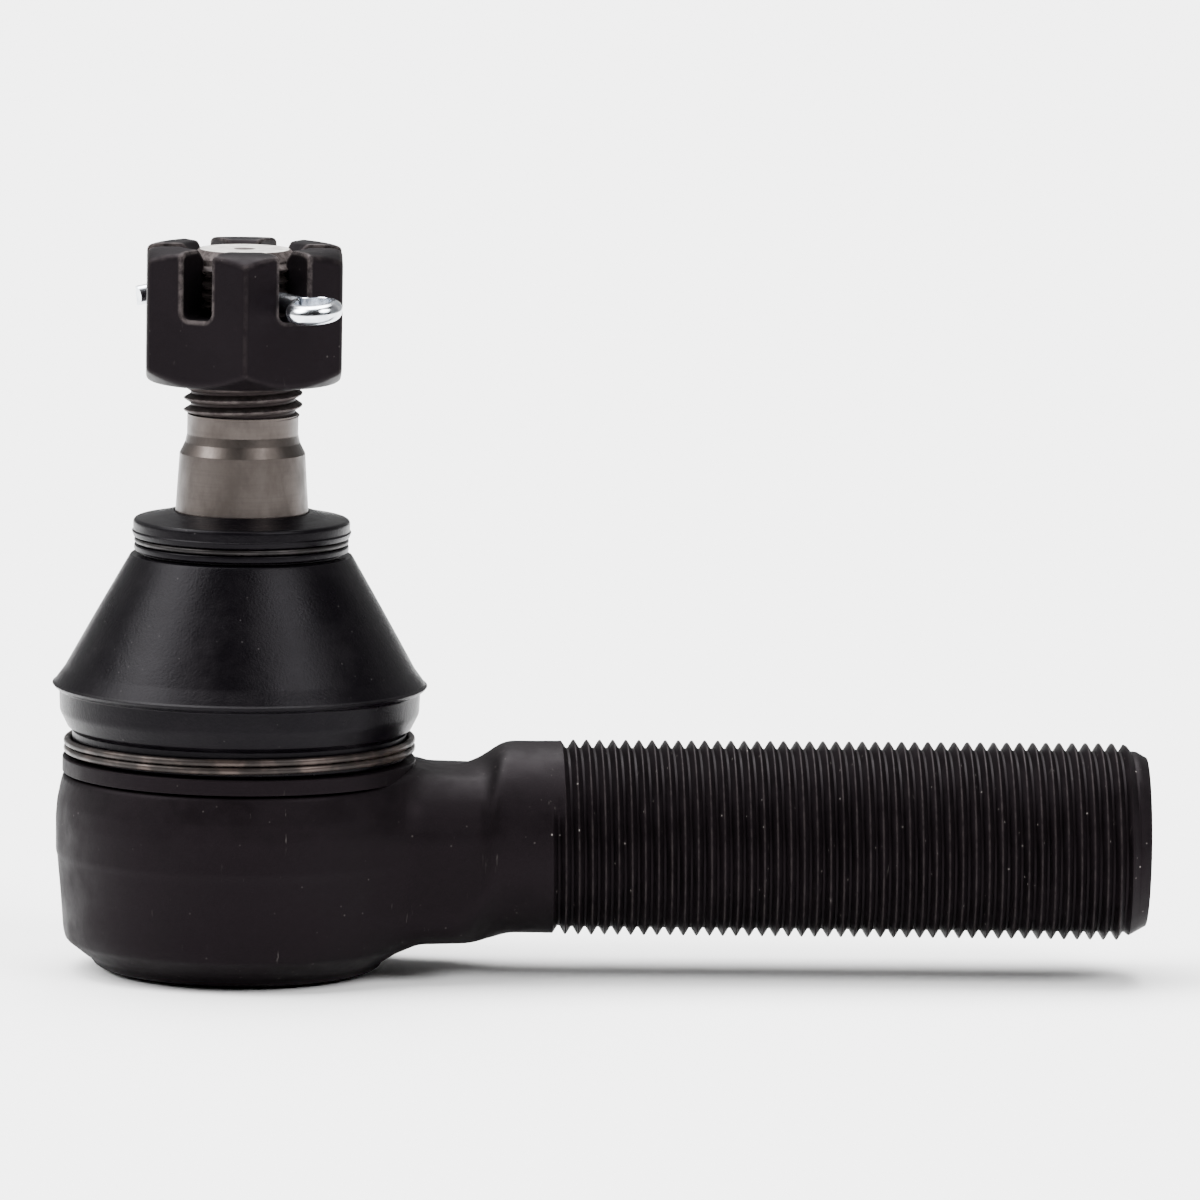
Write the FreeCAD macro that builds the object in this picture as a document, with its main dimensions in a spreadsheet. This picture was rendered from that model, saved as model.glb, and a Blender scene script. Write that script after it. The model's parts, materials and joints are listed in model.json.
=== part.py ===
"""Tie rod end: forged housing with a threaded shank, and a ball stud with its nut, pin and boot.

The stud's axis is Z and the shank runs along +X. The origin is on the stud's axis, in the plane of the
housing's underside. All sizes are in millimetres.
"""

import FreeCAD, Part
import os

import Sketcher
from FreeCAD import Vector

# name, value, meaning
DIMENSIONS = [
    # shank and arm
    ("axis_height", 16.0, "height of the shank's axis and of the ball's centre above the underside"),
    ("shank_radius", 11.906, "15/16 inch thread, crest radius"),
    ("shank_pitch", 1.5875, "16 threads per inch"),
    ("shank_start", 38.9, "where the thread begins, from the stud's axis"),
    ("shank_end", 109.6, "end face of the shank"),
    ("shank_chamfer", 3.0, "length of the chamfer at the shank's end"),
    ("shank_tip_radius", 10.2, "radius of the end face"),
    ("neck_radius", 11.6, "machined neck between arm and thread"),
    ("neck_start", 32.4, "where the neck reaches its full radius"),
    ("shoulder_start", 26.6, "inner end of the rounded shoulder"),
    ("arm_root", 9.0, "inner section of the arm, inside the drum"),
    ("arm_tip", 28.2, "outer section of the arm, inside the shoulder"),
    ("arm_root_width", 17.0, "half width of the arm at its root"),
    ("arm_tip_width", 10.0, "half width of the arm at its tip"),
    ("arm_low", 2.9, "underside of the arm"),
    ("arm_side_low", 7.0, "lower end of the arm's upright side"),
    ("arm_side_high", 18.0, "upper end of the arm's upright side"),
    ("arm_top", 24.6, "top of the arm"),
    # drum
    ("rim_radius", 16.6, "flat ring of the spun rim on the underside"),
    ("drum_low_radius", 21.1, "drum radius above the lower fillet"),
    ("drum_low", 4.5, "height where the side wall begins"),
    ("belt_radius", 22.4, "widest part of the drum"),
    ("belt_low", 14.0, "lower edge of the widest part"),
    ("belt_high", 19.2, "upper edge of the widest part"),
    ("collar_radius", 21.3, "machined collar under the clamp ring"),
    ("collar_low", 23.6, "lower edge of the collar"),
    ("collar_high", 25.6, "upper face of the collar"),
    ("spigot_radius", 18.5, "spigot that the boot grips"),
    ("spigot_lip_radius", 19.1, "lip at the top of the spigot"),
    ("spigot_lip_low", 28.4, "lower edge of that lip"),
    ("housing_top", 29.2, "top face of the spigot"),
    # cavity
    ("bore_radius", 14.0, "bore and dome that hold the seats"),
    ("opening_low", 24.2, "lower end of the cone that lets the stud swing"),
    ("opening_low_radius", 11.4, "its lower radius"),
    ("opening_radius", 14.2, "its upper radius"),
    ("cover_radius", 15.2, "end cover"),
    ("cover_low", 0.7, "underside of the cover's rim"),
    ("cover_thickness", 1.6, "sheet thickness of the cover"),
    ("cover_pad_radius", 8.6, "flat middle of the cover, flush with the underside"),
    ("lip_radius", 13.6, "inner radius of the spun rim"),
    # ball and seats
    ("ball_radius", 11.5, "ball of the stud"),
    ("ball_flat", 7.4, "height of the flat under the ball"),
    ("fit_gap", 0.03, "running clearance of the ball"),
    ("loose_gap", 0.05, "clearance between parts that only touch"),
    ("upper_seat_low", 12.2, "lower edge of the upper seat"),
    ("upper_seat_edge", 21.6, "height where its mouth begins to widen"),
    ("upper_seat_top", 23.8, "top of the upper seat"),
    ("upper_seat_mouth", 11.3, "radius of its mouth"),
    ("lower_seat_low", 4.0, "underside of the lower seat"),
    ("lower_seat_top", 11.8, "upper edge of the lower seat"),
    ("lower_seat_hole", 6.2, "hole in the middle of the lower seat"),
    ("spring_pocket_radius", 12.6, "pocket for the spring under the lower seat"),
    ("spring_pocket_top", 4.9, "ceiling of that pocket"),
    ("spring_outer_radius", 12.3, "outer edge of the disc spring, which rests on the cover"),
    ("spring_inner_radius", 7.0, "inner edge, which presses the lower seat up"),
    ("spring_thickness", 1.1, "thickness of the disc spring"),
    # stud
    ("stud_neck_radius", 5.8, "neck above the ball"),
    ("stud_neck_top", 34.0, "upper end of the neck"),
    ("stud_body_low", 42.0, "lower end of the full shank"),
    ("taper_low", 54.4, "large end of the taper"),
    ("taper_low_radius", 8.05, "its radius"),
    ("taper_high", 62.4, "small end of the taper"),
    ("taper_high_radius", 7.55, "its radius, one in eight on the diameter"),
    ("relief_low", 64.2, "lower end of the plain relief under the thread"),
    ("relief_radius", 6.67, "its radius"),
    ("stud_thread_low", 66.7, "lower end of the stud's thread"),
    ("stud_thread_radius", 7.144, "9/16 inch thread, crest radius"),
    ("stud_pitch", 1.4111, "18 threads per inch"),
    ("stud_top", 86.9, "top face of the stud"),
    ("stud_chamfer", 2.0, "height of the chamfer at the stud's top"),
    ("stud_tip_radius", 5.5, "radius of the top face"),
    ("centre_mark_radius", 1.5, "lathe centre in the top face"),
    ("pin_height", 81.2, "height of the cross hole"),
    ("cross_hole_radius", 1.8, "cross hole for the cotter pin"),
    # nut
    ("nut_low", 70.9, "underside of the nut"),
    ("nut_top", 87.3, "top of the nut"),
    ("nut_flat", 11.7, "half the distance across the flats"),
    ("nut_low_chamfer", 1.4, "height of the lower corner chamfer"),
    ("nut_top_chamfer", 0.9, "height of the upper corner chamfer"),
    ("slot_half_width", 2.0, "half width of a slot"),
    ("slot_bottom", 79.2, "lowest point of a slot"),
    # cotter pin, in its own frame: X along the pin
    ("pin_wire", 1.5, "radius of the half-round wire"),
    ("pin_gap", 0.05, "half the gap between the legs"),
    ("eye_radius", 2.4, "inner radius of the eye"),
    ("eye_centre", 16.3, "centre of the eye"),
    ("eye_neck_bend", 2.2, "bend radius between eye and legs"),
    ("leg_bend", 3.0, "bend radius of the legs behind the nut"),
    ("leg_bend_start", -10.6, "where the legs begin to bend"),
    ("leg_length", 7.2, "how far each leg reaches to the side"),
    # boot
    ("bead_radius", 20.15, "outer radius of the boot's lower bead"),
    ("bead_top", 28.55, "upper edge of the bead"),
    ("skirt_low_radius", 20.8, "lower edge of the skirt"),
    ("skirt_low", 28.95, "its height"),
    ("skirt_radius", 21.7, "skirt below the flange"),
    ("skirt_mid", 31.0, "height where the skirt reaches that radius"),
    ("flange_radius", 22.6, "thin flange"),
    ("flange_low", 33.6, "underside of the flange"),
    ("flange_high", 34.4, "upper side of the flange"),
    ("cone_low", 35.1, "lower end of the cone"),
    ("cone_top", 50.0, "upper end of the cone"),
    ("cone_top_radius", 13.35, "its radius"),
    ("groove_radius", 12.1, "bottom of the grooves in the boot's neck"),
    ("rib_low", 50.4, "lower edge of the rib between the grooves"),
    ("rib_high", 51.3, "upper edge of that rib"),
    ("rib_radius", 12.9, "its radius"),
    ("disc_low", 52.2, "lower edge of the top disc"),
    ("disc_radius", 13.1, "its radius"),
    ("disc_top", 54.3, "top of the disc"),
    ("boot_wall", 2.0, "wall thickness of the boot"),
    # rings
    ("clamp_wire", 0.46, "wire radius of the clamp ring"),
    ("clamp_radius", 20.75, "mean radius of the clamp ring"),
    ("clamp_low", 26.1, "height of its lowest turn"),
    ("clamp_pitch", 0.95, "height of one turn"),
    ("clamp_turns", 2.0, "turns of the clamp ring"),
    ("neck_ring_wire", 0.4, "wire radius of the ring in the boot's neck"),
    ("neck_ring_radius", 12.55, "its mean radius"),
]

PIN_ANGLE = -60  # degrees from +X to the pin's eye, across two flats of the nut
PIN_ROLL = 21  # degrees by which the pin is rolled about its own length
THREAD_DEPTH = 0.6134  # of the pitch
HALF_ROOT = 0.125  # half the flat at the thread's root, of the pitch
HALF_CREST = 0.0625  # half the flat at the thread's crest, of the pitch
FLANK = 0.57735  # tangent of the half angle of the thread's flanks
OVERCUT = 0.3  # how far a cutting profile stands past the surface

doc = FreeCAD.newDocument("tie_rod_end")
dims = doc.addObject("Spreadsheet::Sheet", "dims")


def fill_sheet():
    """One row for each dimension: name, value with its alias, meaning."""
    for row, (name, value, meaning) in enumerate(DIMENSIONS, start=1):
        dims.set(f"A{row}", name)
        dims.set(f"B{row}", str(value))
        dims.set(f"C{row}", meaning)
        dims.setAlias(f"B{row}", name)
    doc.recompute()


def size(expression):
    """The number that an expression of sheet names gives."""
    return float(dims.evalExpression(bound(expression)))


def bound(expression):
    """The expression with each sheet name written as dims.name."""
    words = []
    for word in expression.split(" "):
        bare = word.strip("()")
        words.append(word.replace(bare, f"dims.{bare}") if bare.replace("_", "").isalpha() else word)
    return " ".join(words)


def new_body(label, turn=0):
    """A body of its own for one sub-part, turned about Z."""
    body = doc.addObject("PartDesign::Body", label)
    body.Label = label
    body.Placement = FreeCAD.Placement(Vector(0, 0, 0), FreeCAD.Rotation(Vector(0, 0, 1), turn))
    return body


def origin_plane(body, role):
    return next(part for part in body.Origin.OriginFeatures if part.Role == role)


def new_sketch(body, name, plane="XZ_Plane", raised="0", set_back="0"):
    """A sketch on one of the body's own planes; raised moves it along its upright, set_back off the plane."""
    sketch = body.newObject("Sketcher::SketchObject", f"{body.Label}_{name}")
    sketch.AttachmentSupport = [(origin_plane(body, plane), "")]
    sketch.MapMode = "FlatFace"
    if raised != "0":
        sketch.setExpression(".AttachmentOffset.Base.y", bound(raised))
    if set_back != "0":
        sketch.setExpression(".AttachmentOffset.Base.z", bound(set_back))
    return sketch


def pin_point(sketch, geometry, end, across, up):
    """Ties a point of the sketch to the expressions across and up, measured from the sketch's origin."""
    for kind, axis, expression in (("DistanceX", -2, across), ("DistanceY", -1, up)):
        if expression == "0":
            sketch.addConstraint(Sketcher.Constraint("PointOnObject", geometry, end, axis))
        else:
            index = sketch.addConstraint(
                Sketcher.Constraint(kind, -1, 1, geometry, end, size(expression))
            )
            sketch.setExpression(f"Constraints[{index}]", bound(expression))


def outline(body, name, points, **where):
    """A closed sketch of straight lines through points, each a pair of expressions."""
    sketch = new_sketch(body, name, **where)
    corners = [Vector(size(across), size(up), 0) for across, up in points]
    count = len(corners)
    for index in range(count):
        sketch.addGeometry(Part.LineSegment(corners[index], corners[(index + 1) % count]))
    for index in range(count):
        sketch.addConstraint(Sketcher.Constraint("Coincident", index, 2, (index + 1) % count, 1))
    for index, (across, up) in enumerate(points):
        pin_point(sketch, index, 1, across, up)
    return sketch


def circle(body, name, across, up, radius, **where):
    """A sketch of one circle."""
    sketch = new_sketch(body, name, **where)
    sketch.addGeometry(Part.Circle(Vector(size(across), size(up), 0), Vector(0, 0, 1), size(radius)))
    pin_point(sketch, 0, 3, across, up)
    index = sketch.addConstraint(Sketcher.Constraint("Radius", 0, size(radius)))
    sketch.setExpression(f"Constraints[{index}]", bound(radius))
    return sketch


def turned(body, name, points, cut=False, axis="V_Axis", **where):
    """Material added, or cut away, by turning an outline about an axis of its sketch."""
    sketch = outline(body, name, points, **where)
    feature = body.newObject(
        "PartDesign::Groove" if cut else "PartDesign::Revolution", f"{body.Label}_{name}_turned"
    )
    feature.Profile = (sketch, [""])
    feature.ReferenceAxis = (sketch, [axis])
    feature.Angle = 360
    doc.recompute()
    return feature


def ball(body, name, radius, height, cut=False):
    """A sphere on the stud's axis, added or cut away."""
    kind = "PartDesign::SubtractiveSphere" if cut else "PartDesign::AdditiveSphere"
    feature = body.newObject(kind, f"{body.Label}_{name}")
    feature.AttachmentSupport = [(origin_plane(body, "XY_Plane"), "")]
    feature.MapMode = "FlatFace"
    feature.setExpression("Radius", bound(radius))
    feature.setExpression(".AttachmentOffset.Base.z", bound(height))
    doc.recompute()
    return feature


def coil(body, name, sketch, axis, pitch, cut=False, height=None, turns=None):
    """A helix of the sketch's outline, added or cut away, of a stated height or number of turns."""
    kind = "PartDesign::SubtractiveHelix" if cut else "PartDesign::AdditiveHelix"
    feature = body.newObject(kind, f"{body.Label}_{name}")
    feature.Profile = (sketch, [""])
    feature.ReferenceAxis = (sketch, [axis])
    feature.Mode = "pitch-turns-angle" if height is None else "pitch-height-angle"
    feature.setExpression("Pitch", bound(pitch))
    if height is None:
        feature.setExpression("Turns", bound(turns))
    else:
        feature.setExpression("Height", bound(height))
    doc.recompute()
    return feature


def thread_outline(body, name, crest, pitch, start, along, **where):
    """The outline of an outer thread's groove, its narrow side at the root."""
    root = f"{crest} - {THREAD_DEPTH} * {pitch}"
    past = f"{crest} + {OVERCUT}"
    narrow = f"{HALF_ROOT} * {pitch}"
    wide = f"{HALF_ROOT} * {pitch} + {FLANK} * ( {THREAD_DEPTH} * {pitch} + {OVERCUT} )"
    pairs = [
        (root, f"{start} - {narrow}"),
        (root, f"{start} + {narrow}"),
        (past, f"{start} + {wide}"),
        (past, f"{start} - ( {wide} )"),
    ]
    if along == "H_Axis":
        pairs = [(up, across) for across, up in pairs]
    return outline(body, name, pairs, **where)


def make_housing():
    """The forging: drum, arm, neck and threaded shank, with the cavity for the seats."""
    body = new_body("housing")
    turned(body, "drum", [
        ("0", "0"),
        ("rim_radius", "0"),
        ("rim_radius + 1.2", "0.9"),
        ("drum_low_radius - 1.8", "drum_low - 2.1"),
        ("drum_low_radius - 0.3", "drum_low - 0.9"),
        ("drum_low_radius", "drum_low"),
        ("belt_radius", "belt_low"),
        ("belt_radius", "belt_high"),
        ("collar_radius + 0.2", "collar_low"),
        ("collar_radius", "collar_low"),
        ("collar_radius", "collar_high"),
        ("spigot_radius", "collar_high"),
        ("spigot_radius", "spigot_lip_low"),
        ("spigot_lip_radius", "spigot_lip_low + 0.3"),
        ("spigot_lip_radius", "housing_top"),
        ("0", "housing_top"),
    ])
    sections = [
        arm_section(body, "arm_root_section", "arm_root_width", "arm_root"),
        arm_section(body, "arm_tip_section", "arm_tip_width", "arm_tip"),
    ]
    arm = body.newObject("PartDesign::AdditiveLoft", "housing_arm")
    arm.Profile = (sections[0], [""])
    arm.Sections = [(sections[1], [""])]
    arm.Ruled = True
    doc.recompute()
    turned(body, "shank", [
        ("shoulder_start", "0"),
        ("shoulder_start", "neck_radius - 4"),
        ("shoulder_start + 0.6", "neck_radius - 2.9"),
        ("neck_start - 1.8", "neck_radius - 0.6"),
        ("neck_start", "neck_radius"),
        ("shank_start - 0.5", "neck_radius"),
        ("shank_start", "shank_radius"),
        ("shank_end - shank_chamfer", "shank_radius"),
        ("shank_end", "shank_tip_radius"),
        ("shank_end", "0"),
    ], axis="H_Axis", raised="axis_height")
    turned(body, "bore", [
        ("0", "-1"),
        ("lip_radius", "-1"),
        ("lip_radius", "cover_low"),
        ("cover_radius + loose_gap", "cover_low"),
        ("cover_radius + loose_gap", "cover_low + cover_thickness"),
        ("bore_radius", "cover_low + cover_thickness"),
        ("bore_radius", "axis_height"),
        ("0", "axis_height"),
    ], cut=True)
    ball(body, "dome", "bore_radius", "axis_height", cut=True)
    turned(body, "opening", [
        ("0", "opening_low"),
        ("opening_low_radius", "opening_low"),
        ("opening_radius", "housing_top"),
        ("opening_radius", "housing_top + 1"),
        ("0", "housing_top + 1"),
    ], cut=True)
    groove = thread_outline(
        body, "thread_groove", "shank_radius", "shank_pitch", "shank_start + shank_pitch", "H_Axis",
        raised="axis_height",
    )
    coil(
        body, "thread", groove, "H_Axis", cut=True, pitch="shank_pitch",
        height="shank_end - shank_start",
    )
    return body


def arm_section(body, name, half_width, distance):
    """One upright section of the arm, with sloped shoulders and lower corners."""
    side = [
        (f"{half_width} - 3.6", "arm_low"),
        (f"{half_width} - 0.9", "arm_low + 1.4"),
        (half_width, "arm_side_low"),
        (half_width, "arm_side_high"),
        (f"{half_width} - 1.0", "arm_side_high + 2.6"),
        (f"{half_width} - 3.4", "arm_top - 1.3"),
        (f"{half_width} - 6.2", "arm_top"),
    ]
    other_side = [(f"0 - ( {across} )", up) for across, up in reversed(side)]
    return outline(body, name, side + other_side, plane="YZ_Plane", set_back=distance)


def make_upper_seat():
    """Bearing shell between the ball and the housing's dome."""
    body = new_body("upper_seat")
    outer = "bore_radius - loose_gap"
    ball(body, "shell", outer, "axis_height")
    turned(body, "skirt", [
        ("0", "upper_seat_low"),
        (outer, "upper_seat_low"),
        (outer, "axis_height"),
        ("0", "axis_height"),
    ])
    turned(body, "trim", [
        ("0", "0"),
        ("bore_radius + 1", "0"),
        ("bore_radius + 1", "upper_seat_low"),
        ("0", "upper_seat_low"),
    ], cut=True)
    ball(body, "bearing", "ball_radius + fit_gap", "axis_height", cut=True)
    turned(body, "mouth", [
        ("0", "upper_seat_edge"),
        ("upper_seat_mouth - 1.2", "upper_seat_edge"),
        ("upper_seat_mouth", "upper_seat_top"),
        ("bore_radius + 1", "upper_seat_top"),
        ("bore_radius + 1", "axis_height + bore_radius"),
        ("0", "axis_height + bore_radius"),
    ], cut=True)
    return body


def make_lower_seat():
    """Bearing cup that the spring presses against the ball from below."""
    body = new_body("lower_seat")
    outer = "bore_radius - loose_gap"
    turned(body, "cup", [
        ("lower_seat_hole", "spring_pocket_top"),
        ("spring_pocket_radius", "spring_pocket_top"),
        ("spring_pocket_radius", "lower_seat_low"),
        (outer, "lower_seat_low"),
        (outer, "lower_seat_top"),
        ("lower_seat_hole", "lower_seat_top"),
    ])
    ball(body, "bearing", "ball_radius + fit_gap", "axis_height", cut=True)
    return body


def make_preload_spring():
    """Disc spring between the end cover and the lower seat."""
    body = new_body("preload_spring")
    low = "cover_low + cover_thickness + fit_gap"
    high = "spring_pocket_top - fit_gap"
    turned(body, "cone", [
        ("spring_outer_radius - 0.3", low),
        ("spring_outer_radius", f"{low} + spring_thickness"),
        ("spring_inner_radius + 0.3", high),
        ("spring_inner_radius", f"{high} - spring_thickness"),
    ])
    return body


def make_end_cover():
    """Pressed plate that the spun rim holds in the housing."""
    body = new_body("end_cover")
    turned(body, "plate", [
        ("0", "0"),
        ("cover_pad_radius", "0"),
        ("cover_pad_radius + 0.8", "cover_low"),
        ("cover_radius", "cover_low"),
        ("cover_radius", "cover_low + cover_thickness"),
        ("cover_pad_radius + 0.5", "cover_low + cover_thickness"),
        ("cover_pad_radius - 0.3", "cover_thickness"),
        ("0", "cover_thickness"),
    ])
    return body


def make_ball_stud():
    """Ball, neck, taper, relief and thread, with the cross hole for the pin."""
    body = new_body("ball_stud", PIN_ANGLE)
    turned(body, "shaft", [
        ("0", "axis_height"),
        ("stud_neck_radius", "axis_height"),
        ("stud_neck_radius", "stud_neck_top"),
        ("stud_neck_radius + 0.5", "stud_neck_top + 2.6"),
        ("taper_low_radius - 0.4", "stud_body_low - 2"),
        ("taper_low_radius", "stud_body_low"),
        ("taper_low_radius", "taper_low"),
        ("taper_high_radius", "taper_high"),
        ("relief_radius", "relief_low"),
        ("relief_radius", "stud_thread_low"),
        ("stud_thread_radius", "stud_thread_low + 0.4"),
        ("stud_thread_radius", "stud_top - stud_chamfer"),
        ("stud_tip_radius", "stud_top"),
        ("centre_mark_radius", "stud_top"),
        ("0", "stud_top - centre_mark_radius"),
    ])
    ball(body, "ball", "ball_radius", "axis_height")
    turned(body, "flat", [
        ("0", "axis_height - ball_radius - 1"),
        ("ball_radius", "axis_height - ball_radius - 1"),
        ("ball_radius", "ball_flat"),
        ("0", "ball_flat"),
    ], cut=True)
    groove = thread_outline(
        body, "thread_groove", "stud_thread_radius", "stud_pitch", "stud_thread_low + 0.2", "V_Axis"
    )
    coil(
        body, "thread", groove, "V_Axis", cut=True, pitch="stud_pitch",
        height="stud_top - stud_thread_low",
    )
    hole = circle(body, "cross_hole", "0", "pin_height", "cross_hole_radius", plane="YZ_Plane")
    pocket_through(body, "cross_hole_cut", hole)
    return body


def pocket_through(body, name, sketch):
    """Cuts the sketch's outline through the body, both ways from the sketch's plane."""
    pocket = body.newObject("PartDesign::Pocket", f"{body.Label}_{name}")
    pocket.Profile = (sketch, [""])
    pocket.Type = "ThroughAll"
    pocket.Midplane = True
    doc.recompute()
    return pocket


def make_castle_nut():
    """Hexagon nut with six slots; two corners lie on the Y axis."""
    body = new_body("castle_nut")
    corner = "nut_flat / 0.8660254"
    hexagon = [
        ("nut_flat", f"0 - {corner} / 2"),
        ("nut_flat", f"{corner} / 2"),
        ("0", corner),
        ("0 - nut_flat", f"{corner} / 2"),
        ("0 - nut_flat", f"0 - {corner} / 2"),
        ("0", f"0 - {corner}"),
    ]
    sketch = outline(body, "hexagon", hexagon, plane="XY_Plane", set_back="nut_low")
    pad = body.newObject("PartDesign::Pad", "castle_nut_pad")
    pad.Profile = (sketch, [""])
    pad.setExpression("Length", bound("nut_top - nut_low"))
    doc.recompute()
    beyond = "nut_flat * 1.25"
    turned(body, "lower_chamfer", [
        ("nut_flat - 0.3", "nut_low"),
        (beyond, "nut_low"),
        (beyond, "nut_low + nut_low_chamfer * 1.6"),
    ], cut=True)
    turned(body, "upper_chamfer", [
        ("nut_flat - 0.6", "nut_top"),
        (beyond, "nut_top"),
        (beyond, "nut_top - nut_top_chamfer * 2"),
    ], cut=True)
    root = f"stud_thread_radius - {THREAD_DEPTH} * stud_pitch"
    turned(body, "bore", [
        ("0", "nut_low - 1"),
        (f"{root} + loose_gap * 2", "nut_low - 1"),
        (f"{root} + loose_gap * 2", "nut_top + 1"),
        ("0", "nut_top + 1"),
    ], cut=True)
    cut_nut_thread(body, root)
    for name, height, outward in (("lower_lead", "nut_low", "nut_low + 1.2"),
                                  ("upper_lead", "nut_top", "nut_top - 1.2")):
        turned(body, name, [
            ("0", height),
            ("stud_thread_radius + 0.35", height),
            (f"{root} - 0.1", outward),
            ("0", outward),
        ], cut=True)
    cut_nut_slots(body)
    return body


def cut_nut_thread(body, root):
    """The nut's own groove, which holds the stud's crest with a small gap."""
    turns_up = 1.5 - PIN_ANGLE / 360  # from the stud's groove to a crest, in the nut's own direction
    middle = f"stud_thread_low + 0.2 + {turns_up} * stud_pitch"
    narrow = f"{HALF_CREST} * stud_pitch + loose_gap * 2"
    wide = f"{narrow} + {FLANK} * ( {THREAD_DEPTH} * stud_pitch + 0.2 )"
    groove = outline(body, "thread_groove", [
        ("stud_thread_radius + loose_gap * 2", f"{middle} - ( {narrow} )"),
        ("stud_thread_radius + loose_gap * 2", f"{middle} + {narrow}"),
        (f"{root} - 0.2 + loose_gap * 2", f"{middle} + {wide}"),
        (f"{root} - 0.2 + loose_gap * 2", f"{middle} - ( {wide} )"),
    ])
    coil(body, "thread", groove, "V_Axis", cut=True, pitch="stud_pitch", height="nut_top - nut_low + 2")


def cut_nut_slots(body):
    """Three slots through the nut, each across two flats, with rounded bottoms."""
    sketch = new_sketch(body, "slot", plane="YZ_Plane")
    half, bottom, top = size("slot_half_width"), size("slot_bottom"), size("nut_top + 1")
    centre = Vector(0, bottom + half, 0)
    arc = Part.ArcOfCircle(Part.Circle(centre, Vector(0, 0, 1), half), 3.14159265, 6.2831853)
    sketch.addGeometry(arc)
    sketch.addGeometry(Part.LineSegment(Vector(half, centre.y, 0), Vector(half, top, 0)))
    sketch.addGeometry(Part.LineSegment(Vector(half, top, 0), Vector(-half, top, 0)))
    sketch.addGeometry(Part.LineSegment(Vector(-half, top, 0), Vector(-half, centre.y, 0)))
    sketch.addConstraint(Sketcher.Constraint("Tangent", 0, 2, 1, 1))
    sketch.addConstraint(Sketcher.Constraint("Coincident", 1, 2, 2, 1))
    sketch.addConstraint(Sketcher.Constraint("Coincident", 2, 2, 3, 1))
    sketch.addConstraint(Sketcher.Constraint("Tangent", 3, 2, 0, 1))
    sketch.addConstraint(Sketcher.Constraint("Vertical", 1))
    pin_point(sketch, 0, 3, "0", "slot_bottom + slot_half_width")
    index = sketch.addConstraint(Sketcher.Constraint("Radius", 0, half))
    sketch.setExpression(f"Constraints[{index}]", bound("slot_half_width"))
    index = sketch.addConstraint(Sketcher.Constraint("DistanceY", -1, 1, 1, 2, top))
    sketch.setExpression(f"Constraints[{index}]", bound("nut_top + 1"))
    sketch.addConstraint(Sketcher.Constraint("Horizontal", 2))
    slot = pocket_through(body, "slot_cut", sketch)
    pattern = body.newObject("PartDesign::PolarPattern", "castle_nut_slots")
    pattern.Originals = [slot]
    pattern.Axis = (origin_plane(body, "Z_Axis"), [""])
    pattern.Angle = 120
    pattern.Occurrences = 3
    body.Tip = pattern
    doc.recompute()


def make_cotter_pin():
    """Split pin of half-round wire: an eye, two legs side by side, bent apart behind the nut."""
    body = new_body("cotter_pin")
    turn, roll = FreeCAD.Rotation(Vector(0, 0, 1), PIN_ANGLE), FreeCAD.Rotation(Vector(1, 0, 0), PIN_ROLL)
    body.Placement = FreeCAD.Placement(Vector(0, 0, size("pin_height")), turn * roll)
    body.setExpression(".Placement.Base.z", bound("pin_height"))
    path = body.newObject("Sketcher::SketchObject", "cotter_pin_path")
    path.AttachmentSupport = [(origin_plane(body, "XY_Plane"), "")]
    path.MapMode = "FlatFace"
    draw_leg_line(path)
    wire = new_sketch(body, "wire")
    apex, radius = size("eye_centre + eye_radius"), size("pin_wire")
    round_side = Part.Circle(Vector(apex, 0, 0), Vector(0, 0, 1), radius)
    wire.addGeometry(Part.ArcOfCircle(round_side, -1.5707963, 1.5707963))
    wire.addGeometry(Part.LineSegment(Vector(apex, radius, 0), Vector(apex, -radius, 0)))
    wire.addConstraint(Sketcher.Constraint("Coincident", 0, 2, 1, 1))
    wire.addConstraint(Sketcher.Constraint("Coincident", 1, 2, 0, 1))
    pin_point(wire, 0, 3, "eye_centre + eye_radius", "0")
    index = wire.addConstraint(Sketcher.Constraint("Radius", 0, radius))
    wire.setExpression(f"Constraints[{index}]", bound("pin_wire"))
    wire.addConstraint(Sketcher.Constraint("Vertical", 1))
    pipe = body.newObject("PartDesign::AdditivePipe", "cotter_pin_half")
    pipe.Profile = (wire, [""])
    pipe.Spine = (path, [])
    doc.recompute()
    mirror = body.newObject("PartDesign::Mirrored", "cotter_pin_both")
    mirror.Originals = [pipe]
    mirror.MirrorPlane = (origin_plane(body, "XZ_Plane"), [""])
    body.Tip = mirror
    doc.recompute()
    return body


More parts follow.
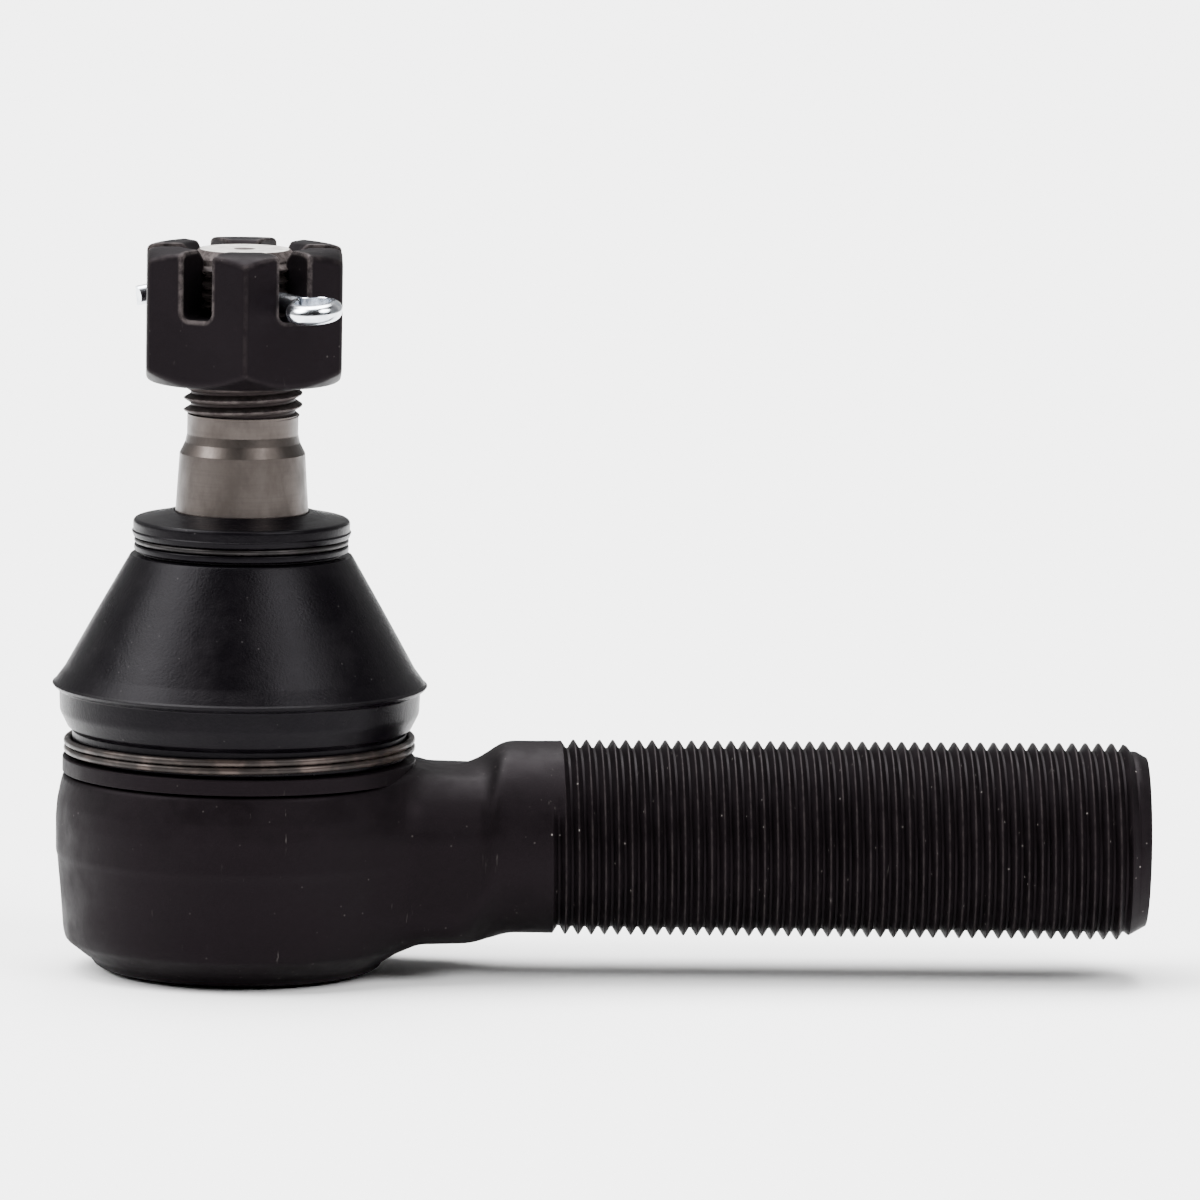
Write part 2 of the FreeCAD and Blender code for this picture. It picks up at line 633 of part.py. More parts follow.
def draw_leg_line(path):
    """The line of one leg's flat face, from the eye's far side to the leg's end, as five tangent pieces."""
    gap, eye, centre = size("pin_gap"), size("eye_radius"), size("eye_centre")
    neck, bend = size("eye_neck_bend"), size("leg_bend")
    neck_up = gap + neck
    neck_x = centre - ((eye + neck) ** 2 - neck_up**2) ** 0.5
    touch = Vector(centre, 0, 0) + (Vector(neck_x - centre, neck_up, 0) * (eye / (eye + neck)))
    neck_low = Vector(neck_x, gap, 0)
    start = size("leg_bend_start")
    bend_low, bend_side = Vector(start, gap, 0), Vector(start - bend, gap + bend, 0)
    neck_middle = middle_of_arc(Vector(neck_x, neck_up, 0), touch, neck_low)
    bend_middle = middle_of_arc(Vector(start, gap + bend, 0), bend_low, bend_side)
    path.addGeometry(Part.Arc(Vector(centre + eye, 0, 0), Vector(centre, eye, 0), touch))
    path.addGeometry(Part.Arc(neck_low, neck_middle, touch))
    path.addGeometry(Part.LineSegment(neck_low, bend_low))
    path.addGeometry(Part.Arc(bend_side, bend_middle, bend_low))
    path.addGeometry(Part.LineSegment(bend_side, Vector(start - bend, size("leg_length"), 0)))
    for first, first_end, second, second_end in ((0, 2, 1, 2), (1, 1, 2, 1), (2, 2, 3, 2), (3, 1, 4, 1)):
        path.addConstraint(Sketcher.Constraint("Tangent", first, first_end, second, second_end))
    path.addConstraint(Sketcher.Constraint("PointOnObject", 0, 1, -1))
    path.addConstraint(Sketcher.Constraint("PointOnObject", 0, 3, -1))
    path.addConstraint(Sketcher.Constraint("Horizontal", 2))
    path.addConstraint(Sketcher.Constraint("Vertical", 4))
    for kind, place, expression in (
        ("Radius", (0,), "eye_radius"),
        ("Radius", (1,), "eye_neck_bend"),
        ("Radius", (3,), "leg_bend"),
        ("DistanceX", (-1, 1, 0, 3), "eye_centre"),
        ("DistanceX", (-1, 1, 3, 3), "leg_bend_start"),
        ("DistanceY", (-1, 1, 2, 1), "pin_gap"),
        ("DistanceY", (-1, 1, 4, 2), "leg_length"),
    ):
        index = path.addConstraint(Sketcher.Constraint(kind, *place, size(expression)))
        path.setExpression(f"Constraints[{index}]", bound(expression))


def middle_of_arc(centre, start, end):
    """The point halfway along the shorter arc between two points of a circle."""
    out = (start + end) * 0.5 - centre
    return centre + out * ((start - centre).Length / out.Length)


def make_dust_boot():
    """Rubber boot: bead, skirt with flange, cone, and a grooved neck that seals on the stud."""
    body = new_body("dust_boot")
    turned(body, "rubber", [
        ("spigot_radius + loose_gap", "collar_high + loose_gap"),
        ("bead_radius", "collar_high + loose_gap"),
        ("bead_radius", "bead_top"),
        ("skirt_low_radius", "skirt_low"),
        ("skirt_radius", "skirt_mid"),
        ("skirt_radius", "flange_low"),
        ("flange_radius", "flange_low + 0.2"),
        ("flange_radius", "flange_high - 0.2"),
        ("skirt_radius + 0.1", "cone_low"),
        ("cone_top_radius", "cone_top"),
        ("groove_radius", "cone_top + 0.1"),
        ("groove_radius", "rib_low - 0.1"),
        ("rib_radius", "rib_low"),
        ("rib_radius", "rib_high"),
        ("groove_radius", "rib_high + 0.05"),
        ("groove_radius", "disc_low - 0.05"),
        ("disc_radius", "disc_low"),
        ("disc_radius", "disc_top"),
        ("taper_low_radius + 1.4", "disc_top"),
        ("taper_low_radius + 0.05", "disc_top + 1"),
        ("taper_low_radius + 0.05", "cone_top - 1"),
        ("cone_top_radius - boot_wall", "cone_top - 1.6"),
        ("skirt_radius - boot_wall", "cone_low - 1.4"),
        ("skirt_radius - boot_wall", "housing_top + 1.4"),
        ("spigot_lip_radius + loose_gap", "housing_top + 0.6"),
        ("spigot_lip_radius + loose_gap", "spigot_lip_low + 0.2"),
        ("spigot_radius + loose_gap", "spigot_lip_low - 0.2"),
    ])
    return body


def make_boot_clamp_ring():
    """Wire ring of two turns around the boot's bead."""
    body = new_body("boot_clamp_ring", 70)
    wire = circle(body, "wire", "clamp_radius", "clamp_low", "clamp_wire")
    coil(body, "coil", wire, "V_Axis", pitch="clamp_pitch", turns="clamp_turns")
    return body


def make_boot_neck_ring():
    """Wire ring in the upper groove of the boot's neck."""
    ring = doc.addObject("Part::Torus", "boot_neck_ring")
    ring.Label = "boot_neck_ring"
    ring.setExpression("Radius1", bound("neck_ring_radius"))
    ring.setExpression("Radius2", bound("neck_ring_wire"))
    ring.setExpression(".Placement.Base.z", bound("( rib_high + disc_low ) / 2"))
    doc.recompute()
    return ring


def check_and_write(parts):
    """Stops on any failed object or bad shape, then writes one STEP file for each sub-part."""
    doc.recompute()
    for item in doc.Objects:
        if "Invalid" in item.State or "Error" in item.State:
            raise RuntimeError(f"{item.Label} failed: {item.State}")
    for part in parts:
        shape = part.Shape
        if shape.isNull() or not shape.isValid() or len(shape.Solids) != 1:
            raise RuntimeError(f"{part.Label}: bad shape with {len(shape.Solids)} solids")
        print(f"{part.Label}: {shape.Volume:.1f} mm3, {len(shape.Faces)} faces")
    os.makedirs("parts", exist_ok=True)
    for part in parts:
        part.Shape.exportStep(f"parts/{part.Label}.step")


fill_sheet()
check_and_write([
    make_housing(),
    make_upper_seat(),
    make_lower_seat(),
    make_preload_spring(),
    make_end_cover(),
    make_ball_stud(),
    make_castle_nut(),
    make_cotter_pin(),
    make_dust_boot(),
    make_boot_clamp_ring(),
    make_boot_neck_ring(),
])
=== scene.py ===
"""Looks of the tie rod end: detailed meshes, materials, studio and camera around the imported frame."""

import json
import math

import bmesh
import bpy
import numpy as np
from mathutils import Matrix, Vector


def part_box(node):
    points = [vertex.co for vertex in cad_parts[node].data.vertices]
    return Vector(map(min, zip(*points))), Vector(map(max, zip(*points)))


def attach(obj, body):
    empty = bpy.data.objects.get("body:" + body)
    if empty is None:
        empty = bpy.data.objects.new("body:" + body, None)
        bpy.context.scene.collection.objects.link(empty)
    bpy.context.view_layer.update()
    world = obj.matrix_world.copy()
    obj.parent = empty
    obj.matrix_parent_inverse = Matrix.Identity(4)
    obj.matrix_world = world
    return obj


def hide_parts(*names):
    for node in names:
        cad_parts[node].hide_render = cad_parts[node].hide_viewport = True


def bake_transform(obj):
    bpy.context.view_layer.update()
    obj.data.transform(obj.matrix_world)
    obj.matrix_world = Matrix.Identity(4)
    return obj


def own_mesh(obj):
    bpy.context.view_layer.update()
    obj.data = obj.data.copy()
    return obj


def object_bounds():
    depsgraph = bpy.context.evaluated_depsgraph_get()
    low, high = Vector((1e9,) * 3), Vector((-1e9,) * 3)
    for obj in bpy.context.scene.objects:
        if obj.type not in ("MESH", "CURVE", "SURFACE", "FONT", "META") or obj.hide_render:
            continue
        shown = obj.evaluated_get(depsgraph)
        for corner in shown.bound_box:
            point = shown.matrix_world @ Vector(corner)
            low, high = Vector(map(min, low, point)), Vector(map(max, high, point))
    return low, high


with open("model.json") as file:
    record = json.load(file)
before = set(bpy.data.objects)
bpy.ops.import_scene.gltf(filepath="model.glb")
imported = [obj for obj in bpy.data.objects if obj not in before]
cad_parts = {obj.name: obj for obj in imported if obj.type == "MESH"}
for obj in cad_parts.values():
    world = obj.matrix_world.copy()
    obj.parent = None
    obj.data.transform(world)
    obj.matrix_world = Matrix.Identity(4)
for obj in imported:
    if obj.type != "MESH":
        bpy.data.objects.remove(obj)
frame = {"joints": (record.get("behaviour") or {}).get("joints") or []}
cad_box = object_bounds()

MM = 0.001
JOINTS = {joint["name"]: joint for joint in frame["joints"]}
AXIS = JOINTS["stud_swing"]["pos_m"][2] / MM  # height of the ball's centre and of the shank's axis
SKIN = 0.02  # millimetres by which the drawn ends stay inside the CAD model's
ARC_STEPS = 5  # straight pieces in each rounded corner of an outline
SMOOTH_ANGLE = math.radians(32)
GROOVE_RUN_IN = 0.05  # turns over which a thread's groove reaches its depth


def inner_box(node):
    """A CAD node's lowest and highest corner in millimetres, drawn in by SKIN."""
    low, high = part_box(node)
    return [round(v / MM + SKIN, 3) for v in low], [round(v / MM - SKIN, 3) for v in high]


# ---------------------------------------------------------------- meshes

def add_object(name, verts, faces, body=None, slot=None, stands_for=()):
    """A mesh object from points in millimetres, riding on a body of the frame."""
    mesh = bpy.data.meshes.new(name)
    mesh.from_pydata([tuple(v) for v in np.asarray(verts, float) * MM], [], [tuple(f) for f in faces])
    mesh.update()
    mesh.shade_smooth()
    obj = bpy.data.objects.new(name, mesh)
    bpy.context.scene.collection.objects.link(obj)
    if body:
        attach(obj, body)
    if stands_for:
        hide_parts(*stands_for)
    return obj


def clean(obj, distance=0.002):
    """Merges doubled points, drops empty faces and makes the normals point outwards."""
    bm = bmesh.new()
    bm.from_mesh(obj.data)
    bmesh.ops.remove_doubles(bm, verts=bm.verts, dist=distance * MM)
    bmesh.ops.dissolve_degenerate(bm, edges=bm.edges, dist=distance * MM * 0.5)
    bmesh.ops.recalc_face_normals(bm, faces=bm.faces)
    bm.to_mesh(obj.data)
    bm.free()
    obj.data.shade_smooth()
    obj.data.set_sharp_from_angle(angle=SMOOTH_ANGLE)
    return obj


def set_edge(obj, values):
    """Stores how much each point is made lighter, for the materials: abrasion on outer edges, and on thread
    crests partly abrasion and partly a painted highlight.
    """
    attribute = obj.data.attributes.new("edge", "FLOAT", "POINT")
    attribute.data.foreach_set("value", np.ascontiguousarray(values, np.float32))


def edge_of(points, field, depth):
    """How convex a distance field's surface is at its points: 0 where flat, 1 on a sharp edge."""
    x, y, z = points.T
    nudge = depth * 0.1
    slope = np.stack([
        field(x + nudge, y, z) - field(x - nudge, y, z),
        field(x, y + nudge, z) - field(x, y - nudge, z),
        field(x, y, z + nudge) - field(x, y, z - nudge),
    ], axis=-1)
    slope /= np.maximum(np.linalg.norm(slope, axis=1), 1e-9)[:, None]
    below = points - slope * depth
    return np.clip(1 + field(*below.T) / depth, 0, 1) * 2


def weighted_normals(obj):
    """Flat faces keep flat shading next to their small rounded edges."""
    modifier = obj.modifiers.new("weighted normals", "WEIGHTED_NORMAL")
    modifier.mode = "FACE_AREA"
    modifier.weight = 60
    modifier.keep_sharp = True
    return obj


def rounded(corners):
    """A closed outline whose corners (across, up, radius) are turned into arcs."""
    points = []
    count = len(corners)
    for index, (across, up, radius) in enumerate(corners):
        here = np.array([across, up], float)
        if radius <= 0:
            points.append(here)
            continue
        before = np.array(corners[index - 1][:2], float) - here
        after = np.array(corners[(index + 1) % count][:2], float) - here
        before_length, after_length = np.linalg.norm(before), np.linalg.norm(after)
        before, after = before / before_length, after / after_length
        half = math.acos(np.clip(before @ after, -1, 1)) / 2
        if half > math.radians(89.5):
            points.append(here)
            continue
        reach = min(radius / math.tan(half), 0.48 * before_length, 0.48 * after_length)
        start, end = here + before * reach, here + after * reach
        for t in np.arange(ARC_STEPS + 1) / ARC_STEPS:
            points.append((1 - t) ** 2 * start + 2 * t * (1 - t) * here + t * t * end)
    return np.array(points)


def lathe(name, corners, segments=128, **kwargs):
    """A solid of revolution about Z. The outline's corners are (radius, height, rounding)."""
    outline = rounded(corners)
    angles = np.arange(segments) * 2 * math.pi / segments
    radius, height = outline[:, 0], outline[:, 1]
    verts = np.stack([
        np.outer(radius, np.cos(angles)),
        np.outer(radius, np.sin(angles)),
        np.repeat(height[:, None], segments, axis=1),
    ], axis=-1).reshape(-1, 3)
    rows = len(outline)
    faces = []
    for row in range(rows):
        following = (row + 1) % rows
        for segment in range(segments):
            beside = (segment + 1) % segments
            faces.append((row * segments + segment, row * segments + beside,
                          following * segments + beside, following * segments + segment))
    return weighted_normals(clean(add_object(name, verts, faces, **kwargs)))


def sweep(name, path, section, closed=False, **kwargs):
    """A tube whose section (sideways, up) follows the path's points. Up stays close to Z."""
    path = np.asarray(path, float)
    ahead = np.roll(path, -1, axis=0) - np.roll(path, 1, axis=0)
    if not closed:
        ahead[0], ahead[-1] = path[1] - path[0], path[-1] - path[-2]
    ahead /= np.linalg.norm(ahead, axis=1)[:, None]
    side = np.cross(ahead, [0, 0, 1])
    side /= np.linalg.norm(side, axis=1)[:, None]
    up = np.cross(side, ahead)
    section = np.asarray(section, float)
    verts = (path[:, None] + section[None, :, :1] * side[:, None] + section[None, :, 1:] * up[:, None])
    rows, columns = verts.shape[:2]
    faces = []
    for row in range(rows if closed else rows - 1):
        following = (row + 1) % rows
        for column in range(columns):
            beside = (column + 1) % columns
            faces.append((row * columns + column, row * columns + beside,
                          following * columns + beside, following * columns + column))
    if not closed:
        faces.append(tuple(range(columns)))
        faces.append(tuple((rows - 1) * columns + c for c in reversed(range(columns))))
    return clean(add_object(name, verts.reshape(-1, 3), faces, **kwargs))


def ring_section(radius, count=16):
    angles = np.arange(count) * 2 * math.pi / count
    return np.stack([radius * np.cos(angles), radius * np.sin(angles)], axis=-1)


# ---------------------------------------------------------------- solids from distance fields

def smooth_min(a, b, k):
    blend = np.clip(0.5 + 0.5 * (b - a) / k, 0, 1)
    return b + (a - b) * blend - k * blend * (1 - blend)


def smooth_max(a, b, k):
    return -smooth_min(-a, -b, k)


def surface_net(field, low, high, step):
    """Points and faces of the surface where a distance field of (x, y, z) is zero."""
    axes = [np.arange(low[i], high[i] + step, step) for i in range(3)]
    grid = np.meshgrid(*axes, indexing="ij", sparse=True)
    value = np.broadcast_to(field(*grid), tuple(len(a) for a in axes)).astype(np.float32)
    inside = value < 0
    cells = tuple(n - 1 for n in value.shape)
    total = np.zeros(cells + (3,), np.float32)
    count = np.zeros(cells, np.float32)
    corners = [(i, j, k) for i in (0, 1) for j in (0, 1) for k in (0, 1)]
    for first in corners:
        for axis in range(3):
            if first[axis]:
                continue
            second = tuple(c + (1 if i == axis else 0) for i, c in enumerate(first))
            a = value[tuple(slice(c, c + n) for c, n in zip(first, cells))]
            b = value[tuple(slice(c, c + n) for c, n in zip(second, cells))]
            crossing = (a < 0) != (b < 0)
            t = np.where(crossing, a / np.where(crossing, a - b, 1), 0)
            for i in range(3):
                place = first[i] + (t if i == axis else 0)
                total[..., i] += np.where(crossing, place, 0)
            count += crossing
    used = count > 0
    number = np.full(cells, -1)
    number[used] = np.arange(used.sum())
    index = np.argwhere(used)
    points = (index + total[used] / count[used][:, None]) * step + np.array([a[0] for a in axes])
    faces = []
    for axis in range(3):
        side, other = (axis + 1) % 3, (axis + 2) % 3
        trim = [slice(1, -1)] * 3
        trim[axis] = slice(0, -1)
        shifted = list(trim)
        shifted[axis] = slice(1, None)
        a, b = inside[tuple(trim)], inside[tuple(shifted)]
        place = np.argwhere(a != b)
        forward = a[tuple(place.T)]
        for i in (side, other):
            place[:, i] += 1
        around = []
        for back_side, back_other in ((1, 1), (0, 1), (0, 0), (1, 0)):
            near = place.copy()
            near[:, side] -= back_side
            near[:, other] -= back_other
            around.append(number[tuple(near.T)])
        quad = np.stack(around, axis=1)
        quad[~forward] = quad[~forward][:, ::-1]
        faces.append(quad)
    return settle(points, field, step), np.concatenate(faces)


def settle(points, field, step, rounds=4):
    """Moves points onto the field's zero surface along its slope."""
    nudge = step * 0.1
    for _ in range(rounds):
        x, y, z = points.T
        here = field(x, y, z)
        slope = np.stack([
            field(x + nudge, y, z) - field(x - nudge, y, z),
            field(x, y + nudge, z) - field(x, y - nudge, z),
            field(x, y, z + nudge) - field(x, y, z - nudge),
        ], axis=-1) / (2 * nudge)
        length = np.maximum((slope**2).sum(-1), 0.2)
        move = np.clip(here / length, -step, step)[:, None] * slope
        points = points - move * 0.8
    return points


# ---------------------------------------------------------------- threads

def thread_surface(pitch, crest, depth, first, angle, start, end, limit, segments=96):
    """Points (along, angle, radius), their height in the groove, and faces of an outer right-hand thread.

    The groove begins at the place first and the given angle, and the surface is cut at start and end.
    crest(along) is the crest's radius and limit(along) the largest radius.
    """
    share = np.array([0.0, 0.085, 0.40, 0.455, 0.5, 0.545, 0.60, 0.915])
    height = np.array([0.0, 0.03, 0.86, 0.985, 1.0, 0.985, 0.86, 0.03])
    before = 3
    steps = (int(math.ceil((end - first) / pitch)) + 2 + before) * segments
    turned = np.arange(steps + 1)[:, None] / segments - before
    along = first + pitch * (turned + share[None, :])
    own_groove = turned + (share[None, :] > 0.5)
    deepening = np.clip(own_groove / GROOVE_RUN_IN, 0, 1)
    deepening = deepening * deepening * (3 - 2 * deepening)
    cut = (1 - height[None, :]) * deepening
    along = np.clip(along, start, end)
    radius = np.minimum(crest(along) - depth * cut, limit(along))
    around = np.broadcast_to(2 * math.pi * turned + angle, along.shape)
    columns = len(share)
    faces = []
    for i in range(steps - segments):
        base, following, next_turn = i * columns, (i + 1) * columns, segments * columns
        for k in range(columns - 1):
            faces.append((base + k, base + k + 1, following + k + 1, following + k))
        faces.append((base + columns - 1, base + next_turn, following + next_turn, following + columns - 1))
    return along.reshape(-1), around.reshape(-1), radius.reshape(-1), (1 - cut).reshape(-1), faces


def chamfered(end, length, wide, tip):
    """The largest radius near a chamfered end, as a function of the place along the thread."""
    def limit(along):
        into = (along - end + length) / length
        return np.where(into > 0, wide - into * (wide - tip), np.inf)
    return limit


def close_ends(obj):
    """Fills the open loops of a mesh."""
    bm = bmesh.new()
    bm.from_mesh(obj.data)
    loose = [f for f in bm.faces if f.calc_area() < 1e-14]
    bmesh.ops.delete(bm, geom=loose, context="FACES")
    edges = [e for e in bm.edges if e.is_boundary]
    bmesh.ops.holes_fill(bm, edges=edges, sides=0)
    bmesh.ops.recalc_face_normals(bm, faces=bm.faces)
    bm.to_mesh(obj.data)
    bm.free()
    obj.data.shade_smooth()
    obj.data.set_sharp_from_angle(angle=SMOOTH_ANGLE)
    return obj


# ---------------------------------------------------------------- sizes, in millimetres

NUT_CORNERS = inner_box("castle_nut")
SHANK_PITCH = 1.5875
SHANK_CREST_LOW, SHANK_CREST_HIGH = 11.76, 11.89  # the rolled crests grow a little towards the end
SHANK_DEPTH = 0.6134 * SHANK_PITCH
SHANK_START, SHANK_END = 36.8, inner_box("housing")[1][0]
SHANK_GROOVE, SHANK_GROOVE_ANGLE = 38.2, math.radians(150)
SHANK_CHAMFER, SHANK_TIP = 3.0, 10.2
NECK_RADIUS = 11.58

STUD_CREST, STUD_PITCH = 7.13, 1.411
STUD_DEPTH = 0.6134 * STUD_PITCH
STUD_THREAD_LOW, STUD_TOP = 66.7, inner_box("ball_stud")[1][2]
STUD_RELIEF, STUD_RUN_OUT = 6.68, 0.6  # radius under the thread, and the slope up to its crest
STUD_GROOVE, STUD_GROOVE_ANGLE = 65.6, math.radians(-120)
STUD_CHAMFER, STUD_TIP = 2.0, 5.5

NUT_LOW, NUT_TOP, NUT_FLAT = NUT_CORNERS[0][2], NUT_CORNERS[1][2], NUT_CORNERS[1][0]
SLOT_HALF, SLOT_BOTTOM, SLOT_CORNER = 2.0, 79.2, 1.0
PIN_HEIGHT, PIN_ANGLE, PIN_ROLL = 81.2, math.radians(-60), math.radians(8)
EYE_DROOP_START, EYE_DROOP = 11.0, math.radians(3)  # beyond this place the pin's eye end droops

BORE, DOME_SEAM = 14.0, 24.2


# ---------------------------------------------------------------- housing

def drum_radius(z):
    """Radius of the forged drum at a height, its corners softened."""
    heights = [0.0, 0.4, 1.25, 1.45, 2.4, 3.4, 4.6, 9.0, 13.55, 14.0, 18.2, 20.2, 22.2, 24.4]
    radii = [16.6, 17.2, 17.75, 18.15, 19.4, 20.7, 21.0, 21.35, 21.8, 21.96, 22.0, 21.85, 21.45, 20.9]
    soft = 0.2
    return sum(np.interp(z + shift, heights, radii) for shift in (-soft, 0, soft)) / 3


def arm_field(x, y, z):
    """The arm: a drafted bar that narrows outwards, with sloped shoulders."""
    half = np.interp(x, [9.0, 20.0, 29.0], [17.0, 12.9, 11.3])
    side = np.abs(y) - half
    facets = [  # offset from the side, height, direction outwards and up, rounding
        (side, 17.6, 0.933, 0.359, 0.35),
        (side + 1.0, 20.6, 0.747, 0.664, 0.5),
        (side + 3.4, 23.3, 0.421, 0.907, 1.0),
        (side, 24.6, 0.0, 1.0, 1.0),
        (side, 7.0, 0.949, -0.316, 0.6),
        (side + 0.9, 5.2, 0.46, -0.888, 1.2),
        (side, 3.9, 0.0, -1.0, 1.2),
    ]
    result = side + z * 0
    for offset, level, across, up, soft in facets:
        result = smooth_max(result, offset * across + (z - level) * up, soft)
    out = np.sqrt(y * y + (z - AXIS) ** 2)
    end = (x - 30.8) * 0.6 + (out - 12.0) * 0.8
    return smooth_max(smooth_max(result, end, 0.8), 2.0 - x, 1.0)


def neck_field(x, y, z):
    """The round neck between arm and thread: a crisp shoulder at the sides, a long ramp on top."""
    out = np.sqrt(y * y + (z - AXIS) ** 2)
    topness = np.clip((z - AXIS) / np.maximum(out, 1), 0, 1) ** 3
    slope = np.radians(20 + 38 * topness)
    shoulder = (out - NECK_RADIUS) * np.sin(slope) + (30.3 + 1.8 * topness - x) * np.cos(slope)
    result = smooth_max(out - NECK_RADIUS, shoulder, 0.7)
    return smooth_max(result, x - SHANK_START - 0.6, 0.02)


def forging_field(x, y, z):
    """Outer skin of the forging, with a plain hole where the machined core is."""
    out = np.sqrt(x * x + y * y)
    drum = smooth_max(out - drum_radius(z), z - 23.45, 0.5)
    drum = smooth_max(drum, 0.12 - z, 0.5)
    whole = smooth_min(drum, arm_field(x, y, z), 3.2)
    whole = smooth_min(whole, neck_field(x, y, z), 1.3)
    return np.maximum(whole, 16.0 - out)


def make_housing():
    points, faces = surface_net(forging_field, (-23, -23, -0.6), (38.0, 23, 28.6), 0.4)
    forging = clean(add_object("housing_forging", points, faces, "housing", "forged_steel", ["housing"]))
    core = lathe("housing_core", [
        (13.6, 0.1, 0.15), (16.4, 0.0, 0.5), (16.9, 0.9, 0.3), (16.9, 23.5, 0.1),
        (21.26, 23.7, 0.12), (21.26, 25.55, 0.2), (18.5, 25.6, 0.2), (18.5, 28.35, 0.2),
        (19.05, 28.7, 0.15), (19.05, 29.15, 0.2), (14.2, 29.15, 0.2), (11.4, DOME_SEAM, 0.1),
        *[(BORE * math.cos(a), AXIS + BORE * math.sin(a), 0) for a in np.radians([30, 24, 18, 12, 6, 0])],
        (BORE, 2.3, 0.05), (15.25, 2.3, 0.05), (15.25, 0.7, 0.05), (13.6, 0.7, 0.1),
    ], segments=160, body="housing", slot="forged_steel", stands_for=["housing"])
    shank = make_shank()
    return forging, core, shank


def shank_crest(along):
    return np.interp(along, [38.4, 39.6, SHANK_END], [NECK_RADIUS + 0.02, SHANK_CREST_LOW, SHANK_CREST_HIGH])


def make_shank():
    along, angle, radius, height, faces = thread_surface(
        SHANK_PITCH, shank_crest, SHANK_DEPTH, SHANK_GROOVE, SHANK_GROOVE_ANGLE, SHANK_START, SHANK_END,
        chamfered(SHANK_END, SHANK_CHAMFER, SHANK_CREST_HIGH, SHANK_TIP))
    verts = np.stack([along, radius * np.cos(angle), AXIS + radius * np.sin(angle)], axis=-1)
    shank = add_object("housing_thread", verts, faces, "housing", "forged_steel", ["housing"])
    threaded = (along > SHANK_START + 2.2) & (along < SHANK_END - SHANK_CHAMFER)
    # lighter crests: partly abrasion, partly a painted highlight
    set_edge(shank, np.where(threaded, np.clip(height * 7 - 6, 0, 1), 0))
    return weighted_normals(close_ends(clean(shank, 0.01)))


# ---------------------------------------------------------------- stud

def make_stud():
    ball = 11.5
    flat = 7.4
    low = math.asin((flat - AXIS) / ball)
    top = math.acos(5.8 / ball)
    arc = [(ball * math.cos(a), AXIS + ball * math.sin(a), 0) for a in np.linspace(low, top, 24)]
    body = lathe("stud_body", [
        (0.0, flat, 0), *arc, (5.8, 33.5, 8.0), (8.0, 42.5, 8.0), (8.05, 54.4, 0.5), (7.55, 62.3, 0.25),
        (6.9, 63.6, 0.6), (STUD_RELIEF, 64.6, 0.8), (6.67, STUD_THREAD_LOW + 0.3, 0),
        (0.0, STUD_THREAD_LOW + 0.3, 0),
    ], segments=128, body="stud", slot="stud_steel", stands_for=["ball_stud"])

    along, angle, radius, height, faces = thread_surface(
        STUD_PITCH, lambda z: STUD_CREST + 0 * z, STUD_DEPTH, STUD_GROOVE, STUD_GROOVE_ANGLE,
        STUD_THREAD_LOW, STUD_TOP, chamfered(STUD_TOP, STUD_CHAMFER, STUD_CREST, STUD_TIP))
    radius = np.minimum(radius, STUD_RELIEF + STUD_RUN_OUT * (along - STUD_THREAD_LOW))
    verts = np.stack([radius * np.cos(angle), radius * np.sin(angle), along], axis=-1)
    thread = add_object("stud_thread", verts, faces, "stud", "stud_steel", ["ball_stud"])
    # lighter crests below the nut, partly abrasion and partly a painted highlight; the chamfered end is made
    # lighter all over
    crest = np.clip(height * 3 - 2, 0, 1) * (along < NUT_LOW + 1)
    set_edge(thread, np.where(along > STUD_TOP - STUD_CHAMFER, 1, crest))
    weighted_normals(close_ends(clean(thread, 0.01)))
    # A thin disc on the stud's end face, painted light grey as a reflection of the bright surroundings.
    centre = lathe("stud_top_mark", [
        (0.0, STUD_TOP - 1.2, 0), (1.3, STUD_TOP + 0.005, 0.1), (STUD_TIP - 0.15, STUD_TOP + 0.015, 0.05),
        (STUD_TIP - 0.1, STUD_TOP - 0.1, 0), (0.0, STUD_TOP - 1.4, 0),
    ], segments=64, body="stud", slot="stud_steel", stands_for=["ball_stud"])
    return body, thread, centre


# ---------------------------------------------------------------- nut and pin

def nut_field(x, y, z):
    """Slotted hexagon nut; two corners lie on the Y axis."""
    out = np.sqrt(x * x + y * y)
    result = np.abs(x) - NUT_FLAT + z * 0
    for angle in np.radians([60, 120]):
        result = smooth_max(result, np.abs(x * math.cos(angle) + y * math.sin(angle)) - NUT_FLAT, 0.35)
    low_cone = (out - NUT_FLAT + 0.5) * 0.64 + (NUT_LOW - z) * 0.77
    top_cone = (out - NUT_FLAT + 0.35) * 0.5 + (z - NUT_TOP) * 0.866
    result = smooth_max(result, low_cone, 0.35)
    result = smooth_max(result, top_cone, 0.5)
    result = smooth_max(result, NUT_LOW - z, 0.3)
    result = smooth_max(result, z - NUT_TOP, 0.6)
    bore = STUD_CREST - STUD_DEPTH + 0.25 - out
    lead = (STUD_CREST + 0.7 - out) * 0.707 + (NUT_TOP - z) * -0.707
    result = smooth_max(result, np.maximum(bore, lead), 0.25)
    for angle in np.radians([0, 60, 120]):
        aside = np.abs(-x * math.sin(angle) + y * math.cos(angle))
        inward = np.maximum(aside - SLOT_HALF + SLOT_CORNER, 0)
        below = np.maximum(SLOT_BOTTOM + SLOT_CORNER - z, 0)
        slot = np.maximum(np.sqrt(inward**2 + below**2) - SLOT_CORNER, aside - SLOT_HALF)
        result = smooth_max(result, -slot, 0.35)
    return result


def make_nut():
    points, faces = surface_net(nut_field, (-12.6, -14.4, 70.3), (12.6, 14.4, 88.0), 0.24)
    nut = add_object("castle_nut_body", points, faces, "stud", "nut_steel", ["castle_nut"])
    set_edge(nut, edge_of(points, nut_field, 0.45))
    return clean(nut)


def arc_points(centre, radius, start, end, count):
    angles = np.radians(np.linspace(start, end, count))
    return [(centre[0] + radius * math.cos(a), centre[1] + radius * math.sin(a)) for a in angles]


